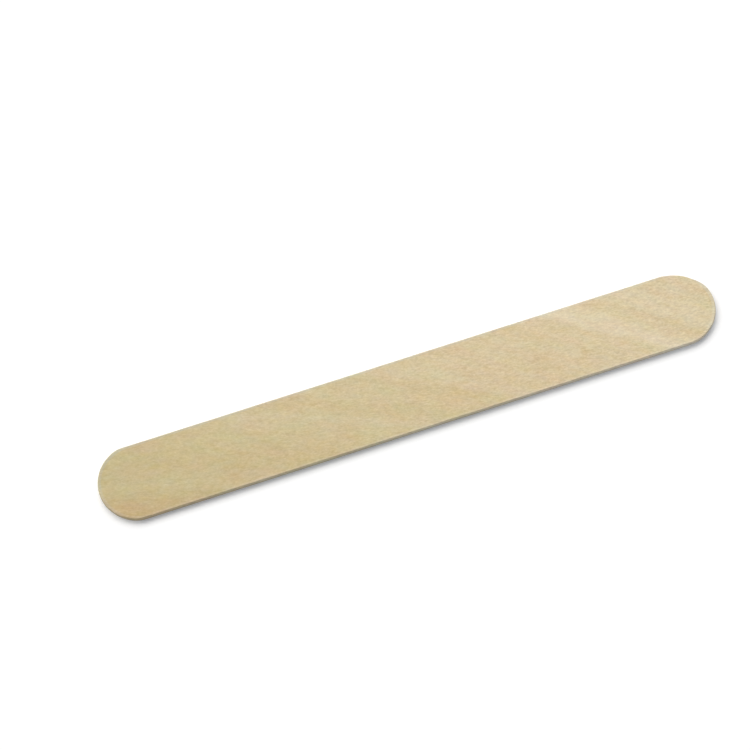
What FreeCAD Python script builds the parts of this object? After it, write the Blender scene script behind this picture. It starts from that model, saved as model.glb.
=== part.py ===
import FreeCAD, Part
import os
import math
import Sketcher

# A tongue depressor: one flat blade, die-cut along the grain of a single veneer and tumbled smooth.
# It lies at rest on its lower face. The origin is the centre of that face, +X runs along the
# blade, +Y across it and +Z up through its thickness. Sizes are in millimetres.

PARTS_FOLDER = "parts"

# Each row is an alias, its size and what it measures.
DRIVING_SIZES = [
    ("overall_length", 150.0, "tip to tip along the blade"),
    ("blade_width", 18.0, "side to side, even from end to end"),
    ("blade_thickness", 1.6, "the veneer, from face to face"),
    ("end_radius_margin", 0.25, "how far the end arc's radius exceeds half the width"),
    ("shoulder_radius", 5.0, "the arc that eases the corner between an end arc and a side"),
    ("edge_radius", 0.25, "the rounding that tumbling leaves round the rim of both faces"),
]

# The numbers by which a sketch names the points of an edge, its own axes and its origin.
START, END, CENTRE = 1, 2, 3
X_AXIS = -1
ORIGIN = (-1, 1)


def make_sizes(doc):
    """The spreadsheet that drives the model, with an alias, a plain number and a note in each row."""
    sheet = doc.addObject("Spreadsheet::Sheet", "Sizes")
    for row, (alias, size, note) in enumerate(DRIVING_SIZES, start=1):
        sheet.set(f"A{row}", alias)
        sheet.set(f"B{row}", str(size))
        sheet.set(f"C{row}", note)
        sheet.setAlias(f"B{row}", alias)
    doc.recompute()
    return sheet


def origin_plane(body, role):
    """One of a body's own origin planes, found by its role."""
    return next(item for item in body.Origin.OriginFeatures if item.Role == role)


def arc(centre_x, centre_y, radius, start_angle, end_angle):
    """A counterclockwise arc in the sketch plane, between two angles in radians."""
    circle = Part.Circle(FreeCAD.Vector(centre_x, centre_y, 0), FreeCAD.Vector(0, 0, 1), radius)
    return Part.ArcOfCircle(circle, start_angle, end_angle)


def line(start_x, end_x, height):
    """A straight run parallel to the blade."""
    return Part.LineSegment(FreeCAD.Vector(start_x, height, 0), FreeCAD.Vector(end_x, height, 0))


def outline_sizes(sheet):
    """Half the width, an end arc's radius and how far its centre is from the blade's middle."""
    half_width = sheet.blade_width / 2
    end_radius = half_width + sheet.end_radius_margin
    return half_width, end_radius, sheet.overall_length / 2 - end_radius


def draw_outline(sketch, sheet):
    """Draws the closed outline, counterclockwise, and returns the sketch's number of each edge by name.

    An end arc is a little flatter than a half circle, so it would meet the sides in a blunt corner.
    In each such corner stands a shoulder arc that is tangent to both."""
    half_width, end_radius, end_x = outline_sizes(sheet)
    shoulder = sheet.shoulder_radius
    shoulder_y = half_width - shoulder
    # A shoulder arc touches the end arc from inside, so the two centres are the radii's difference apart.
    shoulder_x = end_x + math.sqrt((end_radius - shoulder) ** 2 - shoulder_y**2)
    touch = math.atan2(shoulder_y, shoulder_x - end_x)
    quarter, half_turn = math.pi / 2, math.pi

    outline = {
        "right_end": arc(end_x, 0, end_radius, -touch, touch),
        "upper_right_shoulder": arc(shoulder_x, shoulder_y, shoulder, touch, quarter),
        "upper_side": line(shoulder_x, -shoulder_x, half_width),
        "upper_left_shoulder": arc(-shoulder_x, shoulder_y, shoulder, quarter, half_turn - touch),
        "left_end": arc(-end_x, 0, end_radius, half_turn - touch, half_turn + touch),
        "lower_left_shoulder": arc(-shoulder_x, -shoulder_y, shoulder, half_turn + touch, -quarter),
        "lower_side": line(-shoulder_x, shoulder_x, -half_width),
        "lower_right_shoulder": arc(shoulder_x, -shoulder_y, shoulder, -quarter, -touch),
    }
    return {name: sketch.addGeometry(edge, False) for name, edge in outline.items()}


def constrain_outline(sketch, sheet, edges):
    """Joins the edges smoothly, centres the outline on the origin and binds its sizes to the sheet."""

    def constrain(*terms):
        return sketch.addConstraint(Sketcher.Constraint(*terms))

    def bind(expression, value, *terms):
        number = constrain(*terms, value)
        sketch.setExpression(f"Constraints[{number}]", expression)

    names = list(edges)
    for name, following in zip(names, names[1:] + names[:1]):
        constrain("Tangent", edges[name], END, edges[following], START)

    constrain("Horizontal", edges["upper_side"])
    constrain("Symmetric", edges["upper_side"], START, edges["lower_side"], END, X_AXIS)
    constrain("PointOnObject", edges["right_end"], CENTRE, X_AXIS)
    constrain("Symmetric", edges["right_end"], CENTRE, edges["left_end"], CENTRE, *ORIGIN)
    constrain("Equal", edges["right_end"], edges["left_end"])
    for name in ("upper_left_shoulder", "lower_left_shoulder", "lower_right_shoulder"):
        constrain("Equal", edges["upper_right_shoulder"], edges[name])

    half_width, end_radius, end_x = outline_sizes(sheet)
    half_width_term = "Sizes.blade_width / 2"
    end_radius_term = f"({half_width_term} + Sizes.end_radius_margin)"
    end_x_term = f"Sizes.overall_length / 2 - {end_radius_term}"
    bind(half_width_term, half_width, "DistanceY", *ORIGIN, edges["upper_side"], START)
    bind(end_radius_term, end_radius, "Radius", edges["right_end"])
    bind(end_x_term, end_x, "DistanceX", *ORIGIN, edges["right_end"], CENTRE)
    bind("Sizes.shoulder_radius", sheet.shoulder_radius, "Radius", edges["upper_right_shoulder"])


def rim_edges(shape):
    """The names of the edges that lie flat, which are those round the upper and the lower face."""
    return [
        f"Edge{number}"
        for number, edge in enumerate(shape.Edges, start=1)
        if edge.BoundBox.ZLength < edge.BoundBox.DiagonalLength / 2
    ]


def make_blade(doc, sheet):
    """The blade: its outline, padded to the veneer's thickness and rounded round both rims."""
    body = doc.addObject("PartDesign::Body", "Blade")
    body.Label = "blade"

    outline = body.newObject("Sketcher::SketchObject", "Outline")
    outline.AttachmentSupport = [(origin_plane(body, "XY_Plane"), "")]
    outline.MapMode = "FlatFace"
    constrain_outline(outline, sheet, draw_outline(outline, sheet))
    doc.recompute()

    veneer = body.newObject("PartDesign::Pad", "Veneer")
    veneer.Profile = outline
    veneer.setExpression("Length", "Sizes.blade_thickness")
    doc.recompute()

    tumbled = body.newObject("PartDesign::Fillet", "TumbledRims")
    tumbled.Base = (veneer, rim_edges(veneer.Shape))
    tumbled.setExpression("Radius", "Sizes.edge_radius")
    body.Tip = tumbled
    return body


def check(doc, subparts):
    """Stops the build if any object failed to compute, or a sub-part isn't one valid solid."""
    failed = [item.Name for item in doc.Objects if {"Invalid", "Error"} & set(item.State)]
    if failed:
        raise RuntimeError(f"these objects failed: {failed}")
    for item in subparts:
        if item.Shape.isNull() or not item.Shape.isValid() or len(item.Shape.Solids) != 1:
            raise RuntimeError(f"{item.Label} isn't one valid solid")
    sketches = [item for item in doc.Objects if item.isDerivedFrom("Sketcher::SketchObject")]
    loose = [item.Name for item in sketches if not item.FullyConstrained]
    if loose:
        raise RuntimeError(f"these sketches aren't fully constrained: {loose}")


def main():
    doc = FreeCAD.newDocument("TongueDepressor")
    sheet = make_sizes(doc)
    subparts = [make_blade(doc, sheet)]
    doc.recompute()
    check(doc, subparts)

    os.makedirs(PARTS_FOLDER, exist_ok=True)
    for item in subparts:
        item.Shape.exportStep(os.path.join(PARTS_FOLDER, f"{item.Label}.step"))
        box = item.Shape.optimalBoundingBox(False)
        size = " x ".join(f"{side:.3f}" for side in (box.XLength, box.YLength, box.ZLength))
        print(f"{item.Label}: {size} mm, {item.Shape.Volume:.1f} mm3")


main()
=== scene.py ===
import math

import bpy
import numpy as np
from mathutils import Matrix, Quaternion, Vector, noise


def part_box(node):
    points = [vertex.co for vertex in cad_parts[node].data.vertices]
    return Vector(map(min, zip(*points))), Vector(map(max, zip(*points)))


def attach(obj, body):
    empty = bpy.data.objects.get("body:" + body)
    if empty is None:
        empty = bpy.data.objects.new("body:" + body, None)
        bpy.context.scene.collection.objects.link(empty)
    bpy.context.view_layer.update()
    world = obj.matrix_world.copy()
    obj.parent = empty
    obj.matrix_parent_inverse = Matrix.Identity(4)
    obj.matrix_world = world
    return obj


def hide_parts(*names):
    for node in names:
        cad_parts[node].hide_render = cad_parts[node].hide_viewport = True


# A tongue depressor: one birch blade, lying flat on a white table under soft light. Everything is in
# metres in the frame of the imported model, with +X along the blade and +Z up through its thickness.

MM = 0.001

# Sizes of the blade that its box doesn't give
END_RADIUS_MARGIN = 0.25 * MM  # how far an end arc's radius exceeds half the width
SHOULDER_RADIUS = 5.0 * MM  # the arc between an end arc and a side
EDGE_RADIUS = 0.25 * MM  # the rounding round the rim of both faces

# Where the cut strays inside the drawn outline: towards which end and side, how far from the middle
# that starts, is full, is full still and ends, in mm, and how deep it is
STRAYS = [
    (1, 1, 64.7, 69.0, 71.8, 74.8, 0.60 * MM),
    (1, -1, 65.5, 68.2, 71.0, 73.5, 0.14 * MM),
    (-1, -1, 66.4, 68.8, 73.2, 74.8, 0.14 * MM),
]

# How finely the blade's mesh is divided
MIDDLE_COLUMNS = 264
END_COLUMNS = 18
ROWS = 120
RIM_STEPS = 5
WALL_STEPS = 8

# The relief's ridges, grooves and swells: how long a wave is along the fibres, over them and through
# the blade, in mm, and a shift that sets them apart. Depths are in mm too.
RELIEF_WAVES = [
    (2.6, 0.42, 0.42, 0.0),
    (3.4, 0.5, 0.5, 40.0),
    (17.0, 5.0, 5.0, 80.0),
]
RIDGE_DEPTH = 0.006
GROOVE_DEPTH = 0.014
SWELL_DEPTH = 0.008
GROOVE_STARTS = 0.28  # the noise at which a groove starts
GROOVE_RISE = 0.25  # how much more makes it full

# The camera, as it stood to the photographed blade. Angles are in degrees.
CAMERA_AIM = Vector((-5.91, 7.13, 1.6)) * MM
CAMERA_DISTANCE = 667.5 * MM
CAMERA_AZIMUTH = -101.95
CAMERA_ELEVATION = 69.3
CAMERA_ROLL = -6.45
SENSOR_WIDTH = 36.0
LENS = 137.78

# The lamps. A white surface that faces up and has nothing near it renders at 1.
KEY_SHARE = 0.75
KEY_AZIMUTHS = (65.0, 103.0, 142.0)
KEY_ELEVATION = 48.0
KEY_SPREAD = 46.0
WORLD_SHARE = 0.25
WORLD_TINT = (0.89, 0.99, 1.15)

# The table. A little glow lifts it to plain white for the camera.
FLOOR_SIDE = 4.0
FLOOR_DROP = 0.02 * MM
FLOOR_CORNERS = ((-1, -1), (1, -1), (1, 1), (-1, 1))
FLOOR_WHITE = 0.9
FLOOR_LIFT = 0.14

# The wood's own linear colour. A tint says how much one unit of a pattern adds to each channel of it; some
# tints are painted light, as noted at each.
BIRCH = (0.610, 0.498, 0.291)
# Partly the wood's own paling, partly painted sheen: a near-white veil that grows towards the right end
DRIFT_AND_SHEEN_TINT = (0.99, 1.00, 1.73)
BAND_TINT = (0.60, 1.00, 2.10)
HEART_TINT = (0.035, 0.00, 0.06)
CROWN_TINT = (-0.01, 0.01, 0.04)
MOTTLE_TINT = (0.50, 1.00, 2.30)
BLUSH_TINT = (1.00, -1.00, 0.10)
STRAW_TINT = (0.10, 0.05, -1.00)
WARM_TINT = (1.00, 0.65, -0.65)
FLECK_TINT = (0.84, 1.00, 1.25)
# Painted highlight: a paler, cooler line along the faces' rim
RIM_HIGHLIGHT_TINT = (-0.01, 0.04, 0.20)
# Painted highlight on the near rim and painted shade on the far rim, by the side of the blade
FAR_RIM_SHADE_TINT = (-0.06, -0.04, 0.00)
# Painted cool light: the wall is paler and bluer than the face, as under a cool fill
WALL_COOL_LIGHT_TINT = (0.10, 0.18, 0.42)
# Partly the wood's drift, partly painted light: the wall gets lighter and bluer towards the right end
WALL_DRIFT_AND_LIGHT_TINT = (0.80, 1.00, 2.60)
CUT_TINT = (1.00, 1.00, 1.00)
VESSEL_TONE = -0.05
END_GRAIN_TONE = -0.06

# Directions in the wood, in degrees, and changes along the blade, for each mm
FIBRE_ANGLE = -12.0
SPOT_ANGLE = -20.0
# The change along the blade is partly the wood's paling and partly painted sheen that grows to the right
DRIFT_AND_SHEEN_PER_MM = 0.0034
CRISPER_PER_MM = 0.0040
# The wall's change along the blade is partly painted light, lighter towards the right end
WALL_DRIFT_AND_LIGHT_PER_MM = 0.001

# The wood's noises: how long a wave is along each axis, in mm, which seed and how much of it
WANDER = dict(wave=(24.0, 9.0, 9.0), seed=1, detail=1.0, amount=2.4)
RAGGED = dict(wave=(6.0, 2.0, 2.0), seed=2, detail=3.0, roughness=0.6, amount=2.4)
PATCH = dict(wave=(6.0, 2.4, 3.0), seed=3, detail=1.0, amount=0.09)
BLUSH = dict(wave=(6.5, 3.4, 4.0), seed=4, detail=1.0, amount=0.095)
FLECK = dict(wave=(1.0, 0.40, 0.40), seed=5, detail=2.0, roughness=0.65, amount=0.44)
STREAK = dict(wave=(6.0, 0.3, 0.3), seed=6, detail=2.0, amount=0.08)
VESSEL = dict(wave=(2.4, 0.16, 0.16), seed=7, detail=1.0)
CLOUD = dict(wave=(2.2, 1.1, 1.1), seed=8, detail=2.0, roughness=0.6, amount=0.155)
WARMTH = dict(wave=(3.0, 1.6, 2.0), seed=9, detail=1.0, amount=0.11)
GRAIN = dict(wave=(0.5, 0.24, 0.24), seed=10, detail=0.0, amount=0.22)
KNIFE = dict(wave=(0.45, 0.45, 5.0), seed=11, detail=2.0, amount=0.16)
UNEVEN = dict(wave=(2.0, 1.2, 1.2), detail=2.0, amount=2.0)
UNEVEN_SEEDS = (12, 13, 14)
SEED_STEP = (7.3, 11.9, 5.1)

# Where a pattern starts and is full, by the level of its noise, a growth line's place, how upright the
# surface is or how far the edge is, in mm
VESSEL_LEVELS = (0.14, 0.24)
HEART_LINES = (-26.5, -29.5)
CROWN_LINES = (31.0, 38.0)
WALL_FACING = (0.75, 0.25)
RIM_MARGINS = (0.7, 0.4)

# The wood's gloss and its finest relief
ROUGHNESS = 0.62
FLECK_ROUGHNESS = -0.4
VESSEL_ROUGHNESS = 0.1
FINE_HEIGHT = 2.0
VESSEL_HEIGHT = -0.4
KNIFE_HEIGHT = 4.0
BUMP_STRENGTH = 0.5
BUMP_DISTANCE = 0.02 * MM
SPECULAR = 0.3

# The growth figure. The growth lines fall to the right and get steeper. A line's place is where it
# crosses the middle of the upper face, in mm: y + LINE_SLOPE x + LINE_BEND x². Deeper in the wood the
# lines are displaced. Each band has a place and a tone, in hundredths of the wood's own.
LINE_SLOPE = 0.48
LINE_BEND = 0.002
LINE_SLANT = 1.2
BANDS = [
    (-34, -7), (-30, -5), (-27.5, -2.5), (-25.5, 1.5), (-23.8, 2.5), (-21.8, 0), (-16.5, -0.5),
    (-13.5, 1.5), (-10, 2), (-8.2, 6), (-6.6, 0), (-4.8, -1.5), (-1.5, 2.5), (1, 0), (2.6, -2),
    (4.6, 4), (6.2, 4.5), (8.3, 1), (10.5, 3.5), (12.5, 0.5), (15, 1.5), (19, 2), (21.5, -0.5),
    (24, 2.5), (26.3, 0), (29.4, 11), (31.5, 6), (33.5, 0), (36, -4), (38.3, 3), (41.5, 2), (44.5, -4),
]
BAND_RANGE = (-38.0, 52.0)
BAND_TONES = 16.0
BAND_STRENGTH = 1.15

# Small clouds and pin knots in the upper face, and places where it is rosier or more like straw:
# where, how long, how wide and how much, in hundredths. Sizes are in mm.
CLOUDS = [
    (42.2, -3.6, 2.6, 1.9, -6), (38.2, 3.6, 2.4, 1.4, -5), (51.5, -3.7, 2.4, 1.3, -5),
    (31.6, -2.0, 3.4, 1.8, -4), (22.0, -4.6, 4.5, 1.4, -3), (-27.6, -7.2, 2.8, 1.8, -4),
    (-42.6, -4.4, 2.6, 1.8, -3.5), (-35.0, -0.2, 2.4, 1.3, -3), (3.2, 6.2, 3.4, 2.0, 4),
    (12.2, 3.7, 2.8, 1.9, 4), (-39.4, 6.6, 3.2, 1.9, 4), (-60.0, -3.0, 4.0, 1.8, 3),
    (61.5, -2.5, 4.5, 3.0, 3.5), (66.0, 5.5, 6.0, 3.5, 4), (-56.0, 6.5, 5.0, 3.0, -3),
    (30.0, 7.0, 7.0, 3.0, -2.5), (21.0, -3.0, 8.0, 4.5, -1.5), (2.0, -7.0, 8.0, 3.5, 2.5),
]
BLUSHES = [
    (24.0, -4.5, 22.0, 10.0, 1.9), (-36.0, -7.0, 11.0, 5.0, 1.6), (31.0, 7.0, 12.0, 5.5, 1.6),
    (8.0, 6.0, 11.0, 5.0, 1.3), (48.0, -6.5, 9.0, 5.0, 1.4), (66.0, -1.0, 7.0, 5.0, 1.2),
    (-62.0, 1.0, 16.0, 8.0, -0.9), (-48.0, 4.0, 12.0, 8.0, -0.7), (42.0, 3.0, 7.0, 4.0, -0.8),
]
STRAWS = [
    (11.0, -6.0, 16.0, 5.5, 3.5), (55.0, 6.5, 7.0, 4.0, 4), (3.0, -2.0, 5.0, 4.0, 2.5),
    (-20.0, 6.5, 6.0, 4.0, 2.5), (-49.0, 7.0, 11.0, 4.0, 2), (-68.0, 3.0, 6.0, 6.0, -4.5),
    (48.0, -6.5, 10.0, 4.5, -3.5), (67.0, 5.0, 5.0, 5.0, -2.5), (35.0, 0.5, 8.0, 4.5, -2),
    (-15.0, -6.0, 6.0, 4.0, 2.5), (-22.0, 2.0, 7.0, 4.0, -2), (7.0, 2.5, 7.0, 4.0, 1.5),
]


def ray_from_angles(azimuth, elevation):
    """The unit vector towards a point at that azimuth from +X and that elevation, in degrees."""
    turn, rise = math.radians(azimuth), math.radians(elevation)
    return Vector((math.cos(turn) * math.cos(rise), math.sin(turn) * math.cos(rise), math.sin(rise)))


def ease(value, start, end):
    """A smooth rise from 0 at the start to 1 at the end."""
    share = np.clip((value - start) / (end - start), 0.0, 1.0)
    return share**2 * (3 - 2 * share)


class Blade:
    """The blade's form, worked out from its box in the frame."""

    def __init__(self, lowest, highest):
        self.half_length = (highest.x - lowest.x) / 2
        self.half_width = (highest.y - lowest.y) / 2
        self.thickness = highest.z - lowest.z
        self.end_radius = self.half_width + END_RADIUS_MARGIN
        self.end_x = self.half_length - self.end_radius
        self.shoulder_y = self.half_width - SHOULDER_RADIUS
        apart = self.end_radius - SHOULDER_RADIUS
        self.shoulder_x = math.sqrt(apart**2 - self.shoulder_y**2)
        self.touch = math.atan2(self.shoulder_y, self.shoulder_x)

    def stray(self, hub, angle):
        """How far inside the drawn outline the cut runs, in some directions from some hubs."""
        place = (hub + self.half_width * np.cos(angle)) / MM
        stray = np.zeros_like(place)
        for end_sign, side_sign, start, full, full_still, end, depth in STRAYS:
            there = (np.sign(hub) == end_sign) & (np.sign(np.sin(angle)) == side_sign)
            away = np.abs(place)
            stray += there * depth * ease(away, start, full) * ease(away, end, full_still)
        return stray

    def reach(self, hub, angle, inset):
        """How far the outline, drawn in by an inset, is from some hubs in some directions."""
        along, across = np.abs(np.cos(angle)), np.abs(np.sin(angle))
        lean = np.arctan2(across, along)
        side = (self.half_width - inset) / np.maximum(across, 1e-9)
        # The shoulder arc's centre, along the ray and off it
        forward = self.shoulder_x * along + self.shoulder_y * across
        off = self.shoulder_x * across - self.shoulder_y * along
        shoulder = forward + np.sqrt(np.maximum((SHOULDER_RADIUS - inset) ** 2 - off**2, 0.0))
        end = self.end_radius - inset
        side_starts = np.arctan2(self.half_width - inset, self.shoulder_x)
        drawn = np.where(lean < self.touch, end, np.where(lean > side_starts, side, shoulder))
        return drawn - self.stray(hub, angle)

    def places(self, hub, angle, share, inset, height):
        """Points at a height, at a share of the way from some hubs to the outline."""
        reach = share * self.reach(hub, angle, inset)
        x = hub + reach * np.cos(angle)
        y = reach * np.sin(angle)
        return np.stack([x, y, np.full_like(x, height)], -1).reshape(-1, 3)


def face_plan(blade):
    """A face's grid. Each point has a hub on the long axis, a direction from it and a share of the
    way to the outline.

    In the middle each column has its own hub. At an end every point has the end arc's centre, and the
    grid is bent from a square to a disc, so its cells stay even up to the tip."""
    across = np.linspace(-1.0, 1.0, ROWS + 1)
    middle = np.linspace(-blade.end_x, blade.end_x, MIDDLE_COLUMNS + 1)
    middle_hub = np.repeat(middle[:, None], ROWS + 1, axis=1)
    upright = np.where(across < 0, -math.pi / 2, math.pi / 2)
    middle_angle = np.repeat(upright[None], middle.size, axis=0)
    middle_share = np.repeat(np.abs(across)[None], middle.size, axis=0)

    outwards = np.linspace(0.0, 1.0, END_COLUMNS + 1)[1:, None]
    x = outwards * np.sqrt(1 - across**2 / 2)
    y = across * np.sqrt(1 - outwards**2 / 2)
    share = np.hypot(x, y)
    right_angle = np.arctan2(y, x)
    left_angle = np.arctan2(y, -x)
    hub = np.full_like(share, blade.end_x)
    return (
        np.vstack([-hub[::-1], middle_hub, hub]),
        np.vstack([left_angle[::-1], middle_angle, right_angle]),
        np.vstack([share[::-1], middle_share, share]),
    )


def border_of(grid):
    """The entries round a grid's border, counterclockwise from its first corner."""
    return np.concatenate([grid[:, 0], grid[-1, 1:], grid[-2::-1, -1], grid[0, -2:0:-1]])


def rings(blade):
    """The rings from the upper face to the lower one: how far in and how high each is, and how its
    normals lean up from straight out, in radians."""
    quarter = math.pi / 2
    low, high = EDGE_RADIUS, blade.thickness - EDGE_RADIUS
    upper = [(high, quarter * (1 - step / RIM_STEPS)) for step in range(1, RIM_STEPS + 1)]
    wall = [(high + (low - high) * step / WALL_STEPS, 0.0) for step in range(1, WALL_STEPS)]
    lower = [(low, -quarter * step / RIM_STEPS) for step in range(RIM_STEPS)]
    return [
        (EDGE_RADIUS * (1 - math.cos(lean)), centre + EDGE_RADIUS * math.sin(lean), lean)
        for centre, lean in upper + wall + lower
    ]


def relief(places):
    """How deep each place of the surface lies under the ideal form, in metres.

    Fibres stand in fine ridges, short vessels are open grooves, and the sheet is a little uneven."""
    turn = math.radians(-FIBRE_ANGLE)
    cosine, sine = math.cos(turn), math.sin(turn)
    depths = np.empty(len(places))
    for index, (x, y, z) in enumerate(places / MM):
        along, over = x * cosine - y * sine, x * sine + y * cosine
        ridge, vessel, swell = (
            noise.noise(Vector((along / length + shift, over / width, z / height)))
            for length, width, height, shift in RELIEF_WAVES
        )
        groove = min(max((vessel - GROOVE_STARTS) / GROOVE_RISE, 0.0), 1.0)
        depths[index] = RIDGE_DEPTH * (1 + ridge) + GROOVE_DEPTH * groove + SWELL_DEPTH * (1 + swell)
    return depths * MM


def surface_points(blade, hub, angle, share):
    """The points of the upper face, the rings and the lower face, in that order."""
    ring_hub, ring_angle = border_of(hub), border_of(angle)
    outwards = np.stack([np.cos(ring_angle), np.sin(ring_angle)], -1)
    up = np.tile((0.0, 0.0, 1.0), (hub.size, 1))
    places = [blade.places(hub, angle, share, EDGE_RADIUS, blade.thickness)]
    normals = [up]
    for inset, height, lean in rings(blade):
        places.append(blade.places(ring_hub, ring_angle, 1.0, inset, height))
        rise = np.full(ring_hub.size, math.sin(lean))
        normals.append(np.column_stack([outwards * math.cos(lean), rise]))
    places.append(blade.places(hub, angle, share, EDGE_RADIUS, 0.0))
    normals.append(-up)
    ideal = np.concatenate(places)
    return ideal - np.concatenate(normals) * relief(ideal)[:, None]


def grid_quads(grid):
    """The quads between the points of a grid, counterclockwise seen from above."""
    corners = [grid[:-1, :-1], grid[1:, :-1], grid[1:, 1:], grid[:-1, 1:]]
    return np.stack(corners, -1).reshape(-1, 4)


def surface_quads(columns, rows, ring_count):
    """The quads between the points of both faces and the rings."""
    upper = np.arange(columns * rows).reshape(columns, rows)
    ring_size = border_of(upper).size
    ring_starts = upper.size + ring_size * np.arange(ring_count)
    lower = upper.size + ring_size * ring_count + upper
    loops = [border_of(upper), *(start + np.arange(ring_size) for start in ring_starts), border_of(lower)]
    quads = [grid_quads(upper), grid_quads(lower)[:, ::-1]]
    for above, below in zip(loops, loops[1:]):
        quads.append(np.column_stack([above, below, np.roll(below, -1), np.roll(above, -1)]))
    return np.concatenate(quads)


def blade_mesh(blade):
    """The blade as one closed mesh: a grid for each face, rings round the rims and the wall between."""
    hub, angle, share = face_plan(blade)
    points = surface_points(blade, hub, angle, share)
    quads = surface_quads(*hub.shape, len(rings(blade)))
    mesh = bpy.data.meshes.new("birch_blade")
    mesh.from_pydata(points.tolist(), [], quads.tolist())
    mesh.shade_smooth()
    mesh.validate()
    return mesh


class Nodes:
    """A node tree, with a short call for each kind of node that its patterns are made of."""

    def __init__(self, tree):
        self.tree = tree
        tree.nodes.clear()

    def add(self, kind, inputs, **settings):
        """Adds a node, sets it up and links or fills the inputs that are named or numbered."""
        node = self.tree.nodes.new("ShaderNode" + kind)
        for name, value in settings.items():
            setattr(node, name, value)
        for name, value in inputs.items():
            if isinstance(value, bpy.types.NodeSocket):
                self.tree.links.new(value, node.inputs[name])
            else:
                node.inputs[name].default_value = value
        return node

    def math(self, operation, *values):
        return self.add("Math", dict(enumerate(values)), operation=operation).outputs[0]

    def vector(self, operation, *values):
        return self.add("VectorMath", dict(enumerate(values)), operation=operation).outputs[0]

    def length(self, vector):
        return self.add("VectorMath", {0: vector}, operation="LENGTH").outputs["Value"]

    def scaled(self, vector, factor):
        return self.add("VectorMath", {"Vector": vector, "Scale": factor}, operation="SCALE").outputs[0]

    def turned(self, vector, degrees):
        """A vector turned about Z."""
        inputs = {"Vector": vector, "Angle": math.radians(degrees)}
        return self.add("VectorRotate", inputs, rotation_type="Z_AXIS").outputs[0]

    def split(self, vector):
        return self.add("SeparateXYZ", {"Vector": vector}).outputs

    def join(self, x, y, z):
        return self.add("CombineXYZ", {"X": x, "Y": y, "Z": z}).outputs[0]

    def noise(self, point, wave, seed, detail, roughness=0.5, amount=1.0):
        """Noise about 0. A wave is that long along each axis, and the seed moves the noise away."""
        away = tuple(seed * step for step in SEED_STEP)
        moved = self.vector("ADD", self.vector("DIVIDE", point, wave), away)
        inputs = {"Vector": moved, "Scale": 1.0, "Detail": detail, "Roughness": roughness}
        level = self.math("SUBTRACT", self.add("TexNoise", inputs).outputs[0], 0.5)
        return self.math("MULTIPLY", level, amount)

    def step(self, value, start, full, start_result=0.0, full_result=1.0):
        """A smooth step from one result to another."""
        inputs = {
            "Value": value,
            "From Min": start,
            "From Max": full,
            "To Min": start_result,
            "To Max": full_result,
        }
        return self.add("MapRange", inputs, interpolation_type="SMOOTHSTEP").outputs[0]


def growth_bands(nodes, line):
    """The tone of the growth band at a line's place."""
    low, high = BAND_RANGE
    share = nodes.add("MapRange", {"Value": line, "From Min": low, "From Max": high}).outputs[0]
    ramp = nodes.add("ValToRGB", {"Fac": share})
    ramp.color_ramp.interpolation = "EASE"
    stops = ramp.color_ramp.elements
    while len(stops) > 1:
        stops.remove(stops[-1])
    for number, (place, tone) in enumerate(BANDS):
        position = (place - low) / (high - low)
        stop = stops[0] if number == 0 else stops.new(position)
        stop.position = position
        shade = 0.5 + tone / (2 * BAND_TONES)
        stop.color = (shade, shade, shade, 1.0)
    full_tone = 2 * BAND_TONES / 100 * BAND_STRENGTH
    return nodes.math("MULTIPLY", nodes.math("SUBTRACT", ramp.outputs[0], 0.5), full_tone)


def spot_tone(nodes, point, thickness, spots):
    """What some of the upper face's spots add up to at a point."""
    total = 0.0
    for place_x, place_y, length, width, tone in spots:
        apart = nodes.vector("SUBTRACT", point, (place_x, place_y, thickness))
        share = nodes.vector("DIVIDE", nodes.turned(apart, -SPOT_ANGLE), (length, width, thickness))
        total = nodes.math("ADD", nodes.step(nodes.length(share), 1.0, 0.0, 0.0, tone / 100), total)
    return total


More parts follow.
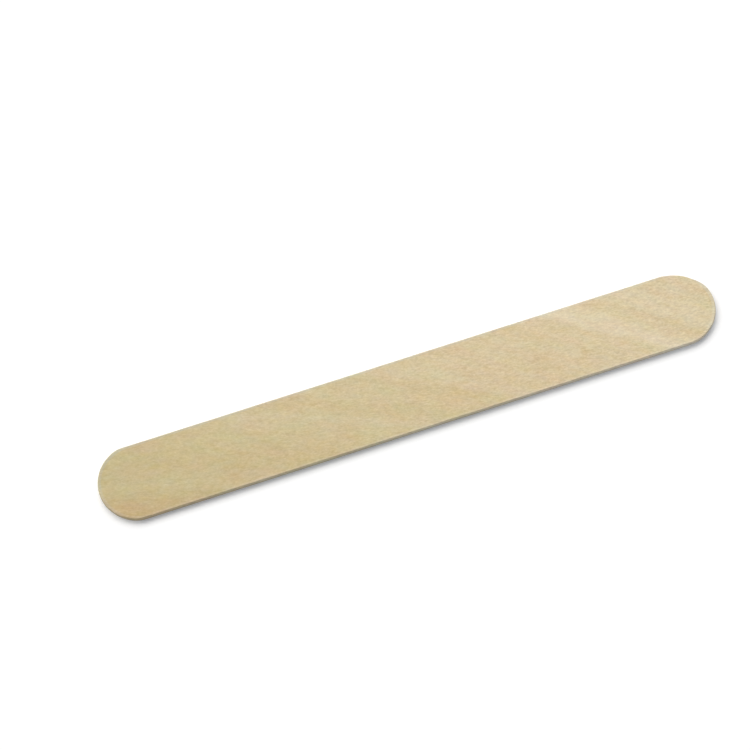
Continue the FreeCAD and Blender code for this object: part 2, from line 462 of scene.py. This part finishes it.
class Birch:
    """The patterns of the wood, and the light painted into its colour, at a point of the blade, laid out
    in mm. Each list of tones holds pairs of a tint and how much of it there is."""

    def __init__(self, nodes, blade):
        self.nodes = nodes
        self.half_width = blade.half_width / MM
        self.thickness = blade.thickness / MM
        self.point = nodes.scaled(nodes.add("TexCoord", {}).outputs["Object"], 1 / MM)
        self.x, self.y, self.z = nodes.split(self.point)
        self.facing = nodes.split(nodes.add("NewGeometry", {}).outputs["Normal"])
        self.wall = nodes.step(nodes.math("ABSOLUTE", self.facing[2]), *WALL_FACING)
        self.knife = nodes.math("MULTIPLY", nodes.noise(self.point, **KNIFE), self.wall)

        # The fibres' own axes
        wandering_y = nodes.math("ADD", self.y, nodes.noise(self.point, **WANDER))
        self.fibre = nodes.turned(nodes.join(self.x, wandering_y, self.z), -FIBRE_ANGLE)

        # The grain gets crisper to the right
        self.crisp = nodes.math("MULTIPLY_ADD", self.x, CRISPER_PER_MM, 1.0)

    def figure(self):
        """The tones of the growth bands and of the change along the blade, which is partly the wood's own
        paling and partly a painted sheen that grows towards the right end, and the growth lines' axes.
        """
        nodes = self.nodes
        straight = nodes.math("MULTIPLY_ADD", self.x, LINE_SLOPE, self.y)
        bend = nodes.math("MULTIPLY", nodes.math("MULTIPLY", self.x, self.x), LINE_BEND)
        sunk = nodes.math("MULTIPLY", nodes.math("SUBTRACT", self.z, self.thickness), LINE_SLANT)
        line = nodes.math("ADD", nodes.math("ADD", straight, bend), sunk)
        ragged = nodes.math("ADD", line, nodes.noise(self.fibre, **RAGGED))
        tones = [
            # Partly the wood's paling, partly painted sheen that grows towards the right end
            (DRIFT_AND_SHEEN_TINT, nodes.math("MULTIPLY", straight, DRIFT_AND_SHEEN_PER_MM)),
            (BAND_TINT, growth_bands(nodes, ragged)),
            (HEART_TINT, nodes.step(ragged, *HEART_LINES)),
            (CROWN_TINT, nodes.step(ragged, *CROWN_LINES)),
        ]
        return tones, nodes.join(self.x, line, self.z)

    def mottling(self, on_lines):
        """The tones of the mottling, which follows the growth lines, and of the spots."""
        nodes = self.nodes
        cloud = nodes.math("MULTIPLY", nodes.noise(self.fibre, **CLOUD), self.crisp)
        moved = nodes.join(*(nodes.noise(self.point, seed=seed, **UNEVEN) for seed in UNEVEN_SEEDS))
        uneven = nodes.vector("ADD", self.point, moved)
        return [
            (MOTTLE_TINT, nodes.math("ADD", nodes.noise(on_lines, **PATCH), cloud)),
            (BLUSH_TINT, nodes.noise(on_lines, **BLUSH)),
            (WARM_TINT, nodes.noise(on_lines, **WARMTH)),
            (MOTTLE_TINT, spot_tone(nodes, uneven, self.thickness, CLOUDS)),
            (BLUSH_TINT, spot_tone(nodes, uneven, self.thickness, BLUSHES)),
            (STRAW_TINT, spot_tone(nodes, uneven, self.thickness, STRAWS)),
        ]

    def grain(self):
        """The flecks, the open vessels and the tone of both with the streaks and the finest grain."""
        nodes = self.nodes
        fleck = nodes.noise(self.fibre, **FLECK)
        vessel = nodes.step(nodes.noise(self.fibre, **VESSEL), *VESSEL_LEVELS)
        speckle = nodes.math("ADD", fleck, nodes.noise(self.fibre, **GRAIN))
        speckle = nodes.math("ADD", speckle, nodes.noise(self.fibre, **STREAK))
        fine = nodes.math("MULTIPLY_ADD", vessel, VESSEL_TONE, nodes.math("MULTIPLY", speckle, self.crisp))
        return fleck, vessel, fine

    def rim(self, end_x):
        """The tones of the faces' rim: a painted highlight, brighter on the near side towards -Y and
        darker on the far side towards +Y. A point's distance from the axis between the end arcs' centres,
        which are at end_x to both sides, says whether it is in the rim."""
        nodes = self.nodes
        past_end = nodes.math("SUBTRACT", nodes.math("ABSOLUTE", self.x), end_x)
        past_end = nodes.math("MAXIMUM", past_end, 0.0)
        squared_y = nodes.math("MULTIPLY", self.y, self.y)
        from_axis = nodes.math("SQRT", nodes.math("MULTIPLY_ADD", past_end, past_end, squared_y))
        start, full = (self.half_width - margin for margin in RIM_MARGINS)
        # Painted highlight along the rim, with less of it on the far side
        rim = nodes.math("SUBTRACT", nodes.step(from_axis, start, full), self.wall)
        far_side = nodes.math("DIVIDE", self.y, self.half_width)
        return [(RIM_HIGHLIGHT_TINT, rim), (FAR_RIM_SHADE_TINT, nodes.math("MULTIPLY", rim, far_side))]

    def cut(self):
        """The tones of the wall: a paler, bluer tone that is painted cool light, a tone that grows towards
        the right end and is partly painted light, knife marks that stand upright, and darker end grain.
        """
        nodes = self.nodes
        # Partly the wood's drift, partly painted light that grows towards the right end
        wall_drift_and_light = nodes.math("MULTIPLY", nodes.math("MULTIPLY", self.x, WALL_DRIFT_AND_LIGHT_PER_MM), self.wall)
        lengthwise = nodes.math("MULTIPLY", self.facing[0], self.facing[0])
        end_grain = nodes.math("MULTIPLY", lengthwise, END_GRAIN_TONE)
        return [
            # Painted cool light on the wall
            (WALL_COOL_LIGHT_TINT, self.wall),
            (WALL_DRIFT_AND_LIGHT_TINT, wall_drift_and_light),
            (CUT_TINT, nodes.math("MULTIPLY_ADD", end_grain, self.wall, self.knife)),
        ]


def birch_material(blade):
    """Bare birch veneer: growth bands, mottling, fibre flecks, open vessels and cut edges, with painted
    light: a sheen that grows to the right, a rim highlight and cool light on the wall.
    """
    material = bpy.data.materials.new("birch_veneer")
    material.use_nodes = True
    nodes = Nodes(material.node_tree)
    wood = Birch(nodes, blade)
    figure, on_lines = wood.figure()
    fleck, vessel, fine = wood.grain()

    tone = (1.0, 1.0, 1.0)
    tones = figure + wood.mottling(on_lines) + [(FLECK_TINT, fine)]
    tones += wood.rim(blade.end_x / MM) + wood.cut()
    for tint, amount in tones:
        tone = nodes.vector("ADD", tone, nodes.scaled(tint, amount))

    roughness = nodes.math("MULTIPLY_ADD", fleck, FLECK_ROUGHNESS, ROUGHNESS)
    roughness = nodes.math("MULTIPLY_ADD", vessel, VESSEL_ROUGHNESS, roughness)
    height = nodes.math("MULTIPLY", fine, FINE_HEIGHT)
    height = nodes.math("MULTIPLY_ADD", vessel, VESSEL_HEIGHT, height)
    height = nodes.math("MULTIPLY_ADD", wood.knife, KNIFE_HEIGHT, height)
    bump = nodes.add("Bump", {"Strength": BUMP_STRENGTH, "Distance": BUMP_DISTANCE, "Height": height})

    shader = nodes.add("BsdfPrincipled", {
        "Base Color": nodes.vector("MULTIPLY", tone, BIRCH),
        "Roughness": roughness,
        "Normal": bump.outputs[0],
        "Specular IOR Level": SPECULAR,
    })
    nodes.add("OutputMaterial", {"Surface": shader.outputs[0]})
    return material


def seen_rays(nodes):
    """1 for the rays by which a background is seen, straight, in gloss or through glass, 0 for others."""
    path = nodes.add("LightPath", {}).outputs
    gloss = nodes.math("MAXIMUM", path["Is Glossy Ray"], path["Is Transmission Ray"])
    return nodes.math("MAXIMUM", path["Is Camera Ray"], gloss)


def table_material():
    """A white table. It shows its shadow, and the camera sees the rest of it as plain white."""
    material = bpy.data.materials.new("white_table")
    material.use_nodes = True
    nodes = Nodes(material.node_tree)
    diffuse = nodes.add("BsdfDiffuse", {"Color": (FLOOR_WHITE, FLOOR_WHITE, FLOOR_WHITE, 1.0)})
    lift = nodes.math("MULTIPLY", seen_rays(nodes), FLOOR_LIFT)
    glow = nodes.add("Emission", {"Color": (1.0, 1.0, 1.0, 1.0), "Strength": lift})
    both = nodes.add("AddShader", {0: diffuse.outputs[0], 1: glow.outputs[0]})
    nodes.add("OutputMaterial", {"Surface": both.outputs[0]})
    return material


def add_blade():
    lowest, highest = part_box("blade")
    blade = Blade(lowest, highest)
    piece = bpy.data.objects.new("birch_blade", blade_mesh(blade))
    bpy.context.scene.collection.objects.link(piece)
    piece.data.materials.append(birch_material(blade))
    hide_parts("blade")
    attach(piece, "root")


def add_table():
    mesh = bpy.data.meshes.new("table")
    half = FLOOR_SIDE / 2
    corners = [(x * half, y * half, -FLOOR_DROP) for x, y in FLOOR_CORNERS]
    mesh.from_pydata(corners, [], [(0, 1, 2, 3)])
    mesh.materials.append(table_material())
    table = bpy.data.objects.new("table", mesh)
    bpy.context.scene.collection.objects.link(table)


def add_key():
    """A wide, soft key from behind the blade, made of lamps in a row."""
    for azimuth in KEY_AZIMUTHS:
        towards = ray_from_angles(azimuth, KEY_ELEVATION)
        key = bpy.data.lights.new("key", "SUN")
        key.energy = KEY_SHARE / len(KEY_AZIMUTHS) * math.pi / towards.z
        key.color = [(1 - WORLD_SHARE * tint) / KEY_SHARE for tint in WORLD_TINT]
        key.angle = math.radians(KEY_SPREAD)
        lamp = bpy.data.objects.new("key", key)
        lamp.rotation_mode = "QUATERNION"
        lamp.rotation_quaternion = (-towards).to_track_quat("-Z", "Y")
        bpy.context.scene.collection.objects.link(lamp)


def add_room():
    """An even room that fills the shadows, and that the camera sees as plain white."""
    world = bpy.data.worlds.new("room")
    world.use_nodes = True
    nodes = Nodes(world.node_tree)
    fill = [WORLD_SHARE * tint for tint in WORLD_TINT]
    white_less_fill = [1 - share for share in fill]
    colour = nodes.vector("ADD", fill, nodes.scaled(white_less_fill, seen_rays(nodes)))
    room = nodes.add("Background", {"Color": colour})
    nodes.add("OutputWorld", {"Surface": room.outputs[0]})
    bpy.context.scene.world = world


def add_camera():
    back = ray_from_angles(CAMERA_AZIMUTH, CAMERA_ELEVATION)
    data = bpy.data.cameras.new("camera")
    data.sensor_width = SENSOR_WIDTH
    data.lens = LENS
    camera = bpy.data.objects.new("camera", data)
    camera.location = CAMERA_AIM + back * CAMERA_DISTANCE
    camera.rotation_mode = "QUATERNION"
    roll = Quaternion((0.0, 0.0, 1.0), math.radians(CAMERA_ROLL))
    camera.rotation_quaternion = (-back).to_track_quat("-Z", "Y") @ roll
    bpy.context.scene.collection.objects.link(camera)
    bpy.context.scene.camera = camera


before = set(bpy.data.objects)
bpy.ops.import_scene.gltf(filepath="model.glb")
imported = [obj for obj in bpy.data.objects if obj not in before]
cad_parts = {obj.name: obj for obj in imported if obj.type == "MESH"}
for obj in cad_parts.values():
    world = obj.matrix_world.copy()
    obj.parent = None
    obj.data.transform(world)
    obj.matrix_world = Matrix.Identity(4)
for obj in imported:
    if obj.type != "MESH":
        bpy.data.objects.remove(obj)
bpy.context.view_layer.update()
bpy.context.scene.view_settings.view_transform = "Standard"
add_blade()
add_table()
add_key()
add_room()
add_camera()
